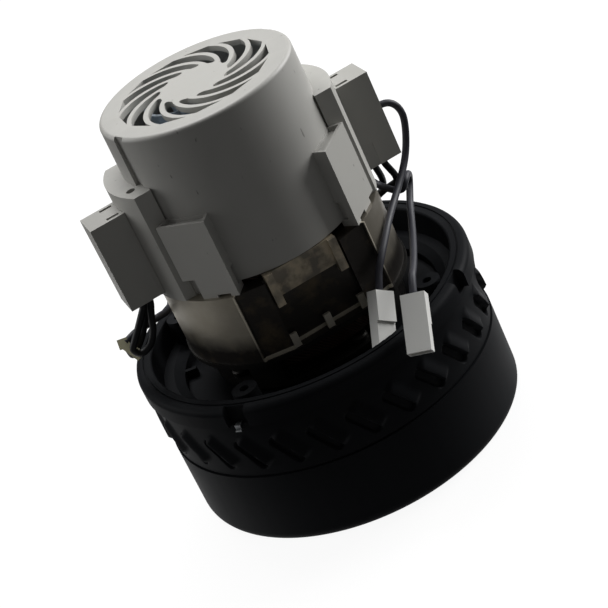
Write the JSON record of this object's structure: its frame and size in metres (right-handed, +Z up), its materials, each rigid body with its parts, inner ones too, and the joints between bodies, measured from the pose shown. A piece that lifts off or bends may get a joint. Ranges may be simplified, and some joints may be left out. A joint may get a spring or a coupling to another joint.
{
  "type": "vacuum motor unit",
  "caption": "Bypass vacuum motor: an open commutator motor under a grey grille cover with side choke boxes, standing on a black multi-stage fan drum with slanted exhaust louvres.",
  "frame": {"origin": "on the motor's axis, at the bottom face of the fan drum", "axes": "+Z up the motor's axis, from the inlet to the cooling grille; +X through the right choke box"},
  "size_m": [0.1487, 0.1596, 0.1746],
  "materials": {
    "black_plastic": "satin moulded, glass filled",
    "cover_plastic": "fine satin moulded",
    "box_plastic": "satin moulded",
    "lamination_steel": "stacked sheets, satin",
    "plated_steel": "zinc plated",
    "bearing_steel": "ground and polished",
    "spring_steel": "drawn wire",
    "fan_aluminium": "rolled sheet",
    "copper": "bare and enamelled copper",
    "brass": "bright",
    "carbon": "dull",
    "moulding_compound": "dull",
    "ferrite": "dull",
    "former_plastic": "satin moulded",
    "cooler_plastic": "satin moulded",
    "housing_nylon": "satin moulded",
    "connector_plastic": "satin moulded",
    "grey_insulation": "smooth extruded",
    "dark_insulation": "smooth extruded"
  },
  "bodies": {
    "housing": {"lower_drum": "black_plastic", "exhaust_band": "black_plastic", "upper_housing": "black_plastic", "case_clips": "plated_steel", "drive_bracket": "plated_steel", "bracket_screws": "plated_steel", "stator_core": "lamination_steel", "clamp_screws": "plated_steel", "field_coil_front": "copper", "field_coil_back": "copper", "coil_former_front": "former_plastic", "coil_former_back": "former_plastic", "motor_cover": "cover_plastic", "upper_bearing_outer": "bearing_steel", "lower_bearing_outer": "bearing_steel", "preload_washer": "spring_steel", "return_plate": "fan_aluminium", "brush_holder_right": "brass", "brush_spring_right": "spring_steel", "brush_cap_right": "brass", "brush_holder_left": "brass", "brush_spring_left": "spring_steel", "brush_cap_left": "brass", "choke_box_right": "box_plastic", "choke_core_right": "ferrite", "choke_coil_right": "copper", "choke_box_left": "box_plastic", "choke_core_left": "ferrite", "choke_coil_left": "copper", "terminal_housing_one": "housing_nylon", "terminal_receptacle_one": "brass", "terminal_housing_two": "housing_nylon", "terminal_receptacle_two": "brass", "lead_one": "grey_insulation", "lead_two": "grey_insulation", "loop_wire_right": "dark_insulation", "loop_wire_left": "dark_insulation", "drop_wire_left": "dark_insulation", "field_wire_left": "grey_insulation", "wire_connector": "connector_plastic"},
    "rotor": {"shaft": "bearing_steel", "armature_core": "lamination_steel", "armature_windings": "copper", "commutator": "copper", "commutator_hub": "moulding_compound", "cooling_fan": "cooler_plastic", "cooling_fan_nut": "plated_steel", "first_impeller": "fan_aluminium", "second_impeller": "fan_aluminium", "impeller_washers": "plated_steel", "stage_spacer": "plated_steel", "bearing_spacer": "plated_steel", "shaft_nut": "plated_steel", "upper_bearing_inner": "bearing_steel", "lower_bearing_inner": "bearing_steel"},
    "upper_balls": {"upper_bearing_balls": "bearing_steel"},
    "lower_balls": {"lower_bearing_balls": "bearing_steel"},
    "brush_right": {"carbon_brush_right": "carbon"},
    "brush_left": {"carbon_brush_left": "carbon"}
  },
  "joints": [
    {"name": "rotor_spin", "type": "hinge", "parent": "housing", "child": "rotor", "pos_m": [0, 0, 0.08], "axis": [0, 0, 1], "continuous": true},
    {"name": "upper_balls_roll", "type": "hinge", "parent": "housing", "child": "upper_balls", "pos_m": [0, 0, 0.1429], "axis": [0, 0, 1], "continuous": true},
    {"name": "lower_balls_roll", "type": "hinge", "parent": "housing", "child": "lower_balls", "pos_m": [0, 0, 0.062], "axis": [0, 0, 1], "continuous": true},
    {"name": "brush_right_slide", "type": "slide", "parent": "housing", "child": "brush_right", "axis": [1, 0, 0], "range_m": [0, 0.008], "stiffness_N_per_m": 150, "springref_m": -0.02, "deforming": ["brush_spring_right"]},
    {"name": "brush_left_slide", "type": "slide", "parent": "housing", "child": "brush_left", "axis": [-1, 0, 0], "range_m": [0, 0.008], "stiffness_N_per_m": 150, "springref_m": -0.02, "deforming": ["brush_spring_left"]}
  ],
  "couplings": [
    {"joint": "upper_balls_roll", "follows": "rotor_spin", "ratio": 0.374},
    {"joint": "lower_balls_roll", "follows": "rotor_spin", "ratio": 0.38}
  ]
}
